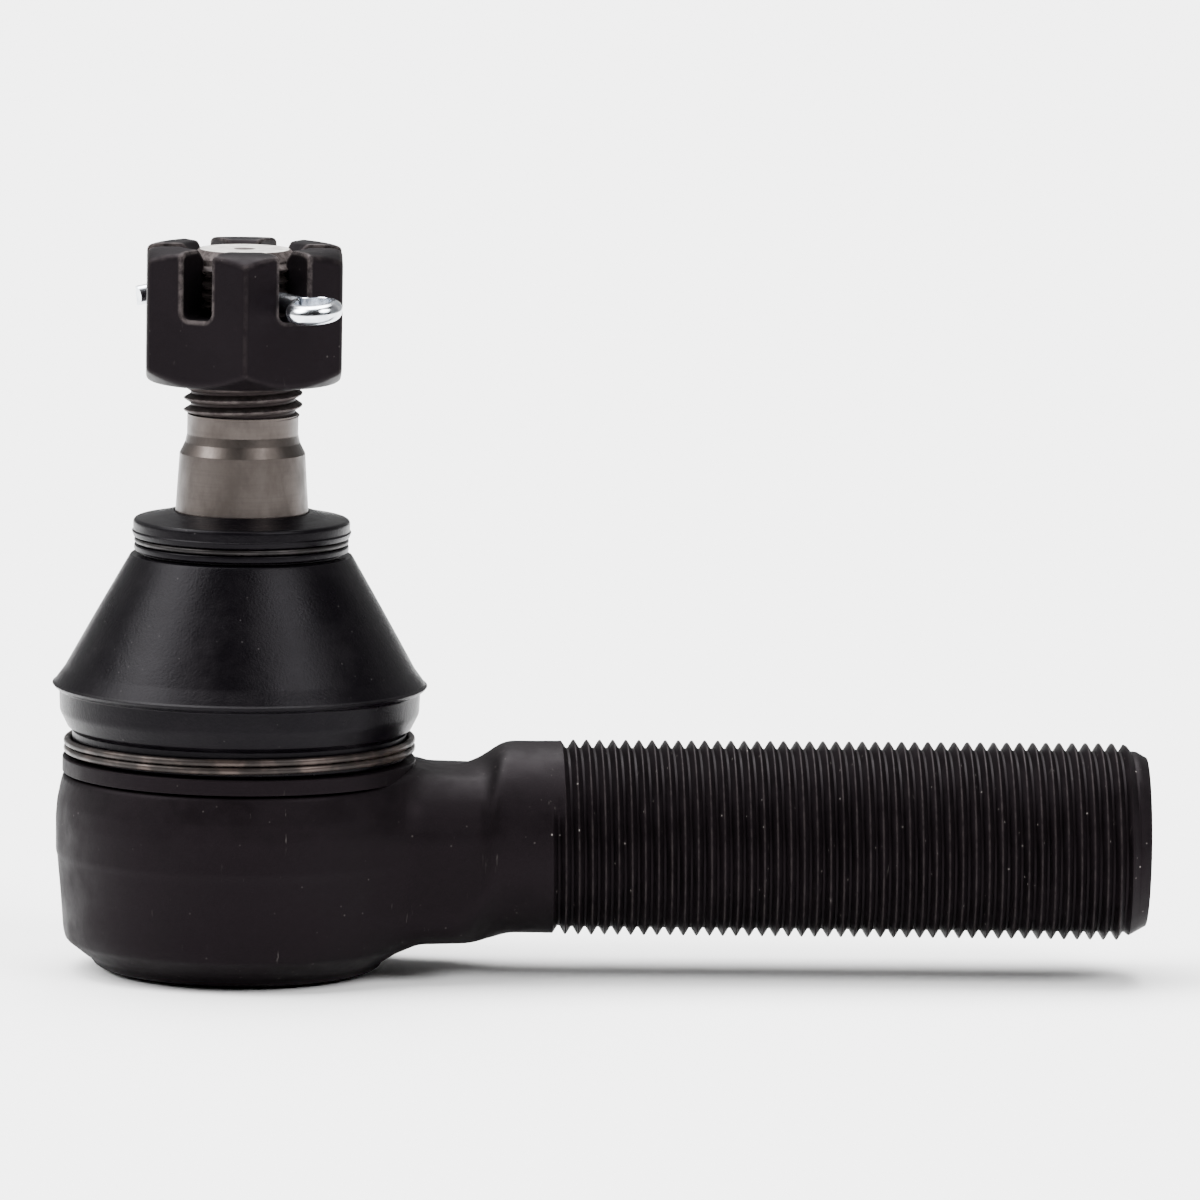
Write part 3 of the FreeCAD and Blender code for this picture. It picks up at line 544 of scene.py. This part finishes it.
def make_pin():
    """Half-round wire: one leg, the eye, the other leg, bent apart behind the nut."""
    wire, gap, eye, centre, neck, bend = 1.2, 0.05, 2.2, 16.2, 2.2, 3.0
    bend_start, leg_end = -10.6, 7.1
    neck_x = centre - math.sqrt((eye + neck) ** 2 - (gap + neck) ** 2)
    touch = math.degrees(math.atan2(gap + neck, neck_x - centre))
    half = [(bend_start - bend, leg_end), (bend_start - bend, 5.2), (bend_start - bend, gap + bend + 0.4)]
    half += arc_points((bend_start, gap + bend), bend, 180, 270, 10)
    half += [(x, gap) for x in np.linspace(bend_start + 0.6, neck_x - 0.5, 12)]
    half += arc_points((neck_x, gap + neck), neck, 270, 360 + touch - 180, 8)
    eye_part = arc_points((centre, 0), eye, touch - 3, 0, 18)
    half += eye_part
    other = [(x, -y) for x, y in reversed(half[:-1])]
    flat = half + other
    path = np.column_stack([flat, np.zeros(len(flat))])
    beyond = np.maximum(path[:, 0] - EYE_DROOP_START, 0)
    path[:, 2] -= beyond * math.tan(EYE_DROOP) * np.clip(beyond / 2, 0, 1)
    angles = np.linspace(-math.pi / 2, math.pi / 2, 13)
    section = [(-wire * math.cos(a), wire * math.sin(a)) for a in angles]
    corner = [(0.0, wire * 0.93), (-0.05, wire * 0.985)]  # softens the edge of the flat side
    section = [(across, -up) for across, up in corner] + section[1:-1] + corner[::-1]
    pin = sweep("cotter_pin_wire", path, section)
    placed = Matrix.Rotation(PIN_ANGLE, 4, "Z") @ Matrix.Rotation(PIN_ROLL, 4, "X")
    pin.data.transform(Matrix.Translation((0, 0, PIN_HEIGHT * MM)) @ placed)
    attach(pin, "stud")
    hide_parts("cotter_pin")
    return pin


# ---------------------------------------------------------------- boot and rings

BOOT_SEAM = 38.0
CONE_LOW, CONE_TOP = (21.75, 35.0), (13.35, 49.95)


def cone_radius(height, inset=0.0):
    """Radius of the boot's cone at a height; it swells a little between its ends."""
    share = (height - CONE_LOW[1]) / (CONE_TOP[1] - CONE_LOW[1])
    swell = 0.05 * math.sin(math.pi * share)
    return CONE_LOW[0] + (CONE_TOP[0] - CONE_LOW[0]) * share + swell - inset


def make_boot():
    """Two halves that meet on the cone."""
    wall = 2.0
    low_cone = [(cone_radius(z), z, 0) for z in np.linspace(36.2, BOOT_SEAM, 8)]
    low_inner = [(cone_radius(z, wall * 1.1), z, 0) for z in np.linspace(BOOT_SEAM, 35.5, 8)]
    lower = lathe("boot_skirt", [
        (18.58, 25.68, 0.2), (20.12, 25.68, 0.3), (20.12, 28.7, 0.3), (20.7, 29.25, 0.5), (21.62, 31.1, 1.6),
        (21.72, 33.6, 0.25), (22.3, 34.0, 0.3), (22.58, 34.35, 0.08), (22.25, 34.6, 0.3), (21.9, 35.1, 0.5),
        *low_cone, *low_inner,
        (19.6, 33.0, 1.0), (19.6, 30.4, 0.5), (19.2, 29.6, 0.2), (19.2, 28.6, 0.2), (18.58, 28.2, 0.2),
    ], segments=192, slot="boot_rubber", stands_for=["dust_boot"])
    top_cone = [(cone_radius(z), z, 0) for z in np.linspace(BOOT_SEAM, 49.7, 32)]
    top_inner = [(cone_radius(z, wall * 1.1), z, 0) for z in np.linspace(48.0, BOOT_SEAM, 16)]
    upper = lathe("boot_neck", [
        *top_cone, (13.3, 50.0, 0.25), (12.2, 50.12, 0.2), (12.2, 50.4, 0.2), (12.9, 50.5, 0.25),
        (12.9, 51.25, 0.25), (12.15, 51.4, 0.15), (12.15, 52.1, 0.15), (12.95, 52.2, 0.2),
        (13.2, 52.85, 0.12), (13.02, 53.0, 0.1), (13.05, 54.3, 0.6), (10.4, 54.8, 1.5),
        (8.7, 55.25, 0.4), (8.1, 55.3, 0.1), (8.12, 49.0, 0.3), *top_inner,
    ], segments=192, slot="boot_rubber", stands_for=["dust_boot"])
    bpy.context.view_layer.update()
    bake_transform(lower)
    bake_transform(upper)
    return lower, upper


def make_clamp_ring():
    """Two turns of wire with free ends, a little uneven."""
    turns, per_turn = 1.98, 120
    count = int(turns * per_turn)
    angle = np.arange(count + 1) / per_turn * 2 * math.pi + math.radians(70)
    wobble = 0.03 * np.sin(3 * angle + 0.7) + 0.02 * np.sin(7.3 * angle)
    radius = 20.72 + wobble
    height = 26.12 + 0.95 * (angle - angle[0]) / (2 * math.pi) + 0.02 * np.sin(5.1 * angle)
    path = np.stack([radius * np.cos(angle), radius * np.sin(angle), height], axis=-1)
    return sweep("clamp_ring_wire", path, ring_section(0.45), body="housing", slot="ring_wire",
                 stands_for=["boot_clamp_ring"])


def make_neck_ring():
    angle = np.arange(160) / 160 * 2 * math.pi
    path = np.stack([12.55 * np.cos(angle), 12.55 * np.sin(angle), np.full(160, 51.75)], axis=-1)
    return sweep("neck_ring_wire", path, ring_section(0.36, 12), closed=True, body="boot_neck",
                 slot="ring_wire", stands_for=["boot_neck_ring"])


def make_spring():
    """Disc spring between the end cover and the lower seat."""
    low, high = (corner[2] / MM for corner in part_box("preload_spring"))
    spring = lathe("preload_spring_disc", [
        (12.0, low, 0.1), (12.3, low + 1.1, 0.1), (7.3, high, 0.1), (7.0, high - 1.1, 0.1),
    ], segments=96, body="housing", slot="spring_steel", stands_for=["preload_spring"])
    bpy.context.view_layer.update()
    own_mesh(spring)
    return spring


def make_cover():
    return lathe("end_cover_plate", [
        (0.0, 0.0, 0), (8.6, 0.0, 0.6), (9.4, 0.72, 0.6), (15.15, 0.72, 0.1), (15.15, 2.28, 0.1),
        (9.1, 2.28, 0.6), (8.3, 1.6, 0.6), (0.0, 1.6, 0),
    ], segments=96, body="housing", slot="cover_steel", stands_for=["end_cover"])


# ---------------------------------------------------------------- materials

class Surface:
    """A material under construction: short calls that add nodes and join them to the shader."""

    def __init__(self, name, roughness=0.5, metallic=0.0, specular=0.5):
        self.material = bpy.data.materials.new(name)
        self.material.use_nodes = True
        self.tree = self.material.node_tree
        self.shader = self.tree.nodes["Principled BSDF"]
        self.shader.inputs["Roughness"].default_value = roughness
        self.shader.inputs["Metallic"].default_value = metallic
        self.shader.inputs["Specular IOR Level"].default_value = specular
        self.place = self.node("ShaderNodeTexCoord").outputs["Object"]
        self.normal = None

    def node(self, kind, **settings):
        made = self.tree.nodes.new(kind)
        for key, value in settings.items():
            setattr(made, key, value)
        return made

    def feed(self, node, **values):
        """Sets a node's inputs by name: a number stays on the socket, an output is linked to it."""
        for key, value in values.items():
            socket = node.inputs[key.replace("_", " ").title()] if isinstance(key, str) else node.inputs[key]
            self.put(socket, value)
        return node

    def put(self, socket, value):
        if isinstance(value, bpy.types.NodeSocket):
            self.tree.links.new(value, socket)
        else:
            socket.default_value = value

    def noise(self, size, detail=3.0, rough=0.5, stretch=(1, 1, 1)):
        """Noise between 0 and 1 whose grains are about size millimetres across."""
        mapping = self.node("ShaderNodeMapping")
        self.put(mapping.inputs["Vector"], self.place)
        mapping.inputs["Scale"].default_value = [1 / (size * MM) * s for s in stretch]
        made = self.node("ShaderNodeTexNoise")
        self.put(made.inputs["Vector"], mapping.outputs[0])
        self.feed(made, scale=1.0, detail=detail, roughness=rough)
        return made.outputs["Fac"]

    def cells(self, size):
        """Distance to the nearest of points about size millimetres apart."""
        made = self.node("ShaderNodeTexVoronoi")
        self.put(made.inputs["Vector"], self.place)
        self.feed(made, scale=1 / (size * MM))
        return made.outputs["Distance"]

    def ramp(self, value, low, high, bottom=0.0, top=1.0):
        made = self.node("ShaderNodeMapRange", interpolation_type="SMOOTHSTEP")
        for index, number in enumerate((value, low, high, bottom, top)):
            self.put(made.inputs[index], number)
        return made.outputs[0]

    def math(self, operation, a, b=0.0):
        made = self.node("ShaderNodeMath", operation=operation)
        self.put(made.inputs[0], a)
        self.put(made.inputs[1], b)
        return made.outputs[0]

    def mix(self, amount, a, b):
        """A colour between a and b."""
        made = self.node("ShaderNodeMix", data_type="RGBA")
        self.put(made.inputs[0], amount)
        for socket, value in ((made.inputs[6], a), (made.inputs[7], b)):
            self.put(socket, (*value, 1) if isinstance(value, tuple) else value)
        return made.outputs[2]

    def edge(self):
        """1 where outer edges are lighter from abrasion and where thread crests are lighter, partly from
        abrasion and partly as a painted highlight; 0 elsewhere.
        """
        return self.ramp(self.node("ShaderNodeAttribute", attribute_name="edge").outputs["Fac"], 0.1, 0.8)

    def bump(self, height, depth, strength=1.0):
        """Adds relief of about depth millimetres."""
        made = self.node("ShaderNodeBump")
        made.inputs["Strength"].default_value = strength
        made.inputs["Distance"].default_value = depth * MM
        self.put(made.inputs["Height"], height)
        if self.normal:
            self.put(made.inputs["Normal"], self.normal)
        self.normal = made.outputs[0]
        return self

    def finish(self, colour=None, roughness=None, metallic=None):
        for key, value in (("Base Color", colour), ("Roughness", roughness), ("Metallic", metallic)):
            if value is not None:
                self.put(self.shader.inputs[key], value)
        if self.normal:
            self.put(self.shader.inputs["Normal"], self.normal)
        return self.material


def phosphate(name, tone, lumps=0.0, wear_and_highlight_amount=0.5, dust=0.12, dull=0.0):
    """Near-black phosphated steel: grainy, faintly mottled, with specks, scratches and edges made lighter by
    abrasion; on thread crests that lighter colour is partly a painted highlight.
    """
    s = Surface(name, specular=0.055)
    s.shader.inputs["Specular Tint"].default_value = (1.0, 0.80, 0.92, 1)
    mottle = s.noise(5.0, 4.0, 0.6)
    base = s.mix(s.ramp(mottle, 0.35, 0.7), tone, tuple(1.6 * c for c in tone))
    streaks = s.ramp(s.noise(0.7, 3.0, 0.6, (1, 1, 0.12)), 0.66, 0.74)
    scratches = s.math("MULTIPLY", streaks, s.ramp(s.noise(7.0), 0.52, 0.62))
    base = s.mix(s.math("MULTIPLY", scratches, 0.5), base, (0.07, 0.064, 0.06))
    specks = s.math("MULTIPLY", s.ramp(s.cells(1.5), 0.11, 0.04), s.ramp(s.noise(4.0), 0.5, 0.6))
    base = s.mix(s.math("MULTIPLY", specks, dust), base, (0.22, 0.20, 0.19))
    # lighter edges: abrasion, and on thread crests partly a painted highlight
    wear_and_highlight = s.math("MULTIPLY", s.edge(), s.ramp(s.noise(1.3, 4.0, 0.7), 0.35, 0.65, 0.15, 1.0))
    base = s.mix(s.math("MULTIPLY", wear_and_highlight, wear_and_highlight_amount), base, (0.075, 0.064, 0.062))
    s.bump(s.noise(0.16, 2.0), 0.02, 0.6)
    if lumps:
        s.bump(s.noise(2.6, 3.0, 0.55), lumps, 0.6)
    return s.finish(base, s.ramp(mottle, 0.3, 0.7, 0.40 + dull, 0.56 + dull))


def rubber(name):
    """Moulded rubber: a fine pebbled skin with a soft sheen and a little dust."""
    s = Surface(name, specular=0.055)
    s.shader.inputs["Specular Tint"].default_value = (0.97, 0.93, 1.0, 1)
    cloud = s.noise(6.0, 4.0, 0.65)
    base = s.mix(s.ramp(cloud, 0.4, 0.75), (0.0014, 0.0011, 0.0016), (0.0032, 0.0027, 0.0033))
    specks = s.math("MULTIPLY", s.ramp(s.cells(1.2), 0.12, 0.05), s.ramp(s.noise(5.0), 0.48, 0.6))
    base = s.mix(s.math("MULTIPLY", specks, 0.15), base, (0.16, 0.15, 0.15))
    s.bump(s.noise(0.32, 3.0, 0.65), 0.045, 0.9)
    s.bump(s.noise(5.0, 2.0), 0.12, 0.5)
    return s.finish(base, s.ramp(cloud, 0.3, 0.7, 0.27, 0.36))


def bare_steel(name):
    """Ground and lightly oiled steel: warm grey with brighter ground patches and turned rings."""
    s = Surface(name, metallic=1.0)
    patches = s.noise(3.5, 4.0, 0.6, (1, 1, 0.6))
    rings = s.noise(0.3, 2.0, 0.5, (0.04, 0.04, 1.0))
    base = s.mix(s.ramp(patches, 0.3, 0.7), (0.050, 0.042, 0.038), (0.070, 0.060, 0.055))
    base = s.mix(s.ramp(rings, 0.45, 0.65, 0, 0.15), base, (0.042, 0.036, 0.033))
    s.bump(rings, 0.01, 0.4)
    s.bump(s.noise(0.25, 2.0), 0.01, 0.5)
    return s.finish(base, s.ramp(patches, 0.3, 0.7, 0.5, 0.33))


def painted_reflection_steel(name):
    """The stud's end face: bare steel whose matt light grey is a painted reflection of the bright
    surroundings, with a slight grain.
    """
    s = Surface(name, metallic=0.25, specular=0.5)
    cloud = s.noise(1.5, 3.0)
    base = s.mix(s.ramp(cloud, 0.3, 0.7), (0.36, 0.345, 0.325), (0.54, 0.52, 0.495))
    s.bump(s.noise(0.3, 2.0), 0.02, 0.5)
    return s.finish(base, s.ramp(cloud, 0.3, 0.7, 0.45, 0.6))


def zinc(name):
    """Bright zinc plating with faint drawing lines."""
    s = Surface(name, metallic=1.0)
    cloud = s.noise(1.6, 3.0)
    base = s.mix(s.ramp(cloud, 0.35, 0.7), (0.62, 0.66, 0.72), (0.86, 0.88, 0.92))
    s.bump(s.noise(0.5, 2.0), 0.004, 0.4)
    return s.finish(base, s.ramp(cloud, 0.3, 0.7, 0.24, 0.14))


def ring_wire(name, dark, rubbed):
    """Dark spring wire with rubbed lighter spots, in the colours given: a brownish temper colour on the clamp
    ring, near-black painted groove shade on the neck ring.
    """
    s = Surface(name, metallic=0.6, specular=0.3)
    spots = s.noise(3.0, 3.0, 0.5)
    base = s.mix(s.ramp(spots, 0.42, 0.66), dark, rubbed)
    s.bump(s.noise(0.3, 2.0), 0.01, 0.5)
    return s.finish(base, s.ramp(spots, 0.3, 0.7, 0.5, 0.32))


def polymer(name):
    """Natural acetal: an off-white, faintly translucent looking moulded plastic."""
    s = Surface(name, specular=0.5)
    cloud = s.noise(4.0, 3.0)
    base = s.mix(s.ramp(cloud, 0.3, 0.7), (0.62, 0.58, 0.48), (0.74, 0.70, 0.60))
    s.bump(s.noise(0.5, 2.0), 0.01, 0.4)
    return s.finish(base, s.ramp(cloud, 0.3, 0.7, 0.38, 0.5))


def spring_steel(name):
    """Hardened and blued spring steel."""
    s = Surface(name, metallic=1.0)
    cloud = s.noise(3.0, 3.0)
    base = s.mix(s.ramp(cloud, 0.3, 0.7), (0.11, 0.12, 0.15), (0.24, 0.24, 0.26))
    s.bump(s.noise(0.3, 2.0), 0.01, 0.5)
    return s.finish(base, s.ramp(cloud, 0.3, 0.7, 0.3, 0.42))


def pale_floor(name):
    s = Surface(name, roughness=0.8, specular=0.1)
    cloud = s.noise(300.0, 2.0)
    return s.finish(s.mix(cloud, (0.96, 0.96, 0.96), (0.975, 0.975, 0.975)))


def paint(objects, material):
    for obj in objects:
        obj.data.materials.clear()
        obj.data.materials.append(material)


def paint_node(name, material):
    """A CAD node that stays in view gets a material on its own slots."""
    for slot in bpy.data.objects[name].material_slots:
        slot.material = material


# ---------------------------------------------------------------- studio

def make_floor():
    mesh = bpy.data.meshes.new("floor")
    reach, level = 4.0, -0.0004
    corners = [(-1, -1), (1, -1), (1, 1), (-1, 1)]
    mesh.from_pydata([(reach * x, reach * y, level) for x, y in corners], [], [(0, 1, 2, 3)])
    floor = bpy.data.objects.new("floor", mesh)
    bpy.context.scene.collection.objects.link(floor)
    mesh.materials.append(pale_floor("pale_floor"))


def sky_patch(tree, towards, inner, outer, strength):
    """A soft-edged round patch of light in the sky: full inside inner degrees, gone at outer degrees."""
    place = tree.nodes.new("ShaderNodeTexCoord")
    dot = tree.nodes.new("ShaderNodeVectorMath")
    dot.operation = "DOT_PRODUCT"
    dot.inputs[1].default_value = Vector(towards).normalized()
    tree.links.new(place.outputs["Generated"], dot.inputs[0])
    ramp = tree.nodes.new("ShaderNodeMapRange")
    ramp.interpolation_type = "SMOOTHSTEP"
    bounds = (math.cos(math.radians(outer)), math.cos(math.radians(inner)), 0, strength)
    for index, value in enumerate(bounds, start=1):
        ramp.inputs[index].default_value = value
    tree.links.new(dot.outputs["Value"], ramp.inputs[0])
    return ramp.outputs[0]


def make_studio():
    """A white room: a large light overhead, a lit wall behind, softer sides and a dim front."""
    world = bpy.data.worlds.new("studio")
    world.use_nodes = True
    tree = world.node_tree
    total = None
    for patch in SKY:
        light = sky_patch(tree, *patch)
        if total:
            add = tree.nodes.new("ShaderNodeMath")
            tree.links.new(total, add.inputs[0])
            tree.links.new(light, add.inputs[1])
            light = add.outputs[0]
        total = light
    sky = tree.nodes["Background"]
    sky.inputs[0].default_value = (1, 1, 1, 1)
    tree.links.new(total, sky.inputs[1])
    bpy.context.scene.world = world


SKY = [
    ((-0.1, 0.3, 1.0), 17, 32, 17.0),  # overhead
    ((0.0, 1.0, 0.1), 40, 75, 0.55),  # back wall
    ((-0.71, -0.10, 0.70), 9, 26, 19.0),  # softbox, left front
    ((0.52, -0.49, 0.70), 8, 22, 15.0),  # softbox, right front
    ((-1.0, 0.2, 0.3), 15, 45, 0.5),  # left wall
    ((1.0, 0.2, 0.3), 15, 45, 0.25),  # right wall
    ((0.0, -1.0, 0.0), 180, 181, 0.04),  # room
]

CAMERA_DISTANCE = 1.5  # from the plane of stud and shank
CAMERA_ASIDE = -0.02  # the camera stands in front of the stud, turned towards the shank
CAMERA_HEIGHT = 0.241
CAMERA_ROLL = math.radians(0.85)
FRAMED_WIDTH = 0.1444  # what the picture's width spans at the middle of the part
AIM_LEFT, AIM_ABOVE_MIDDLE = 0.0003, 0.0012  # from the middle of the part


def make_camera():
    camera = bpy.data.cameras.new("camera")
    camera.sensor_width = 36
    camera.clip_start, camera.clip_end = 0.05, 20
    obj = bpy.data.objects.new("camera", camera)
    bpy.context.scene.collection.objects.link(obj)
    middle = (Vector(cad_box[0]) + Vector(cad_box[1])) / 2
    aim = Vector((middle.x - AIM_LEFT, 0, middle.z + AIM_ABOVE_MIDDLE))
    place = Vector((CAMERA_ASIDE, -CAMERA_DISTANCE, CAMERA_HEIGHT))
    towards = aim - place
    level = towards.to_track_quat("-Z", "Y").to_matrix()
    obj.location = place
    obj.rotation_euler = (level @ Matrix.Rotation(CAMERA_ROLL, 3, "Z")).to_euler("XYZ")
    camera.lens = camera.sensor_width * towards.length / FRAMED_WIDTH
    bpy.context.scene.camera = obj


housing = make_housing()
stud = make_stud()
nut = make_nut()
pin = make_pin()
boot = make_boot()
clamp = make_clamp_ring()
neck_ring = make_neck_ring()
cover = make_cover()
spring = make_spring()

FORGED = (0.0020, 0.0015, 0.0018)
paint(housing[:2], phosphate("forged_phosphate", FORGED, lumps=0.05, wear_and_highlight_amount=0.0, dull=0.05))
# thread crests a little lighter: partly abrasion, partly a painted highlight
paint(housing[2:], phosphate("rolled_thread_phosphate", FORGED, wear_and_highlight_amount=0.14, dust=0.6, dull=0.05))
paint([nut], phosphate("nut_phosphate", (0.0016, 0.0012, 0.0015), wear_and_highlight_amount=0.6))
paint([cover], phosphate("cover_phosphate", (0.007, 0.0057, 0.0062)))
paint(stud[:1], bare_steel("ground_steel"))
# thread crests lighter: partly abrasion, partly a painted highlight
paint(stud[1:2], phosphate("thread_phosphate", (0.013, 0.0105, 0.010), wear_and_highlight_amount=0.9))
# painted reflection: the stud's end face is coloured light grey
paint(stud[2:], painted_reflection_steel("painted_reflection_steel"))
paint([pin], zinc("bright_zinc"))
paint(boot, rubber("moulded_rubber"))
paint([clamp], ring_wire("tempered_wire", (0.012, 0.009, 0.008), (0.042, 0.031, 0.027)))
# painted shade: the neck ring is near-black to stand for the shadow in its groove
paint([neck_ring], ring_wire("groove_shade_wire", (0.005, 0.004, 0.004), (0.012, 0.010, 0.010)))
SEAT = polymer("natural_acetal")
paint_node("upper_seat", SEAT)
paint_node("lower_seat", SEAT)
paint([spring], spring_steel("blued_spring_steel"))

make_floor()
make_studio()
make_camera()
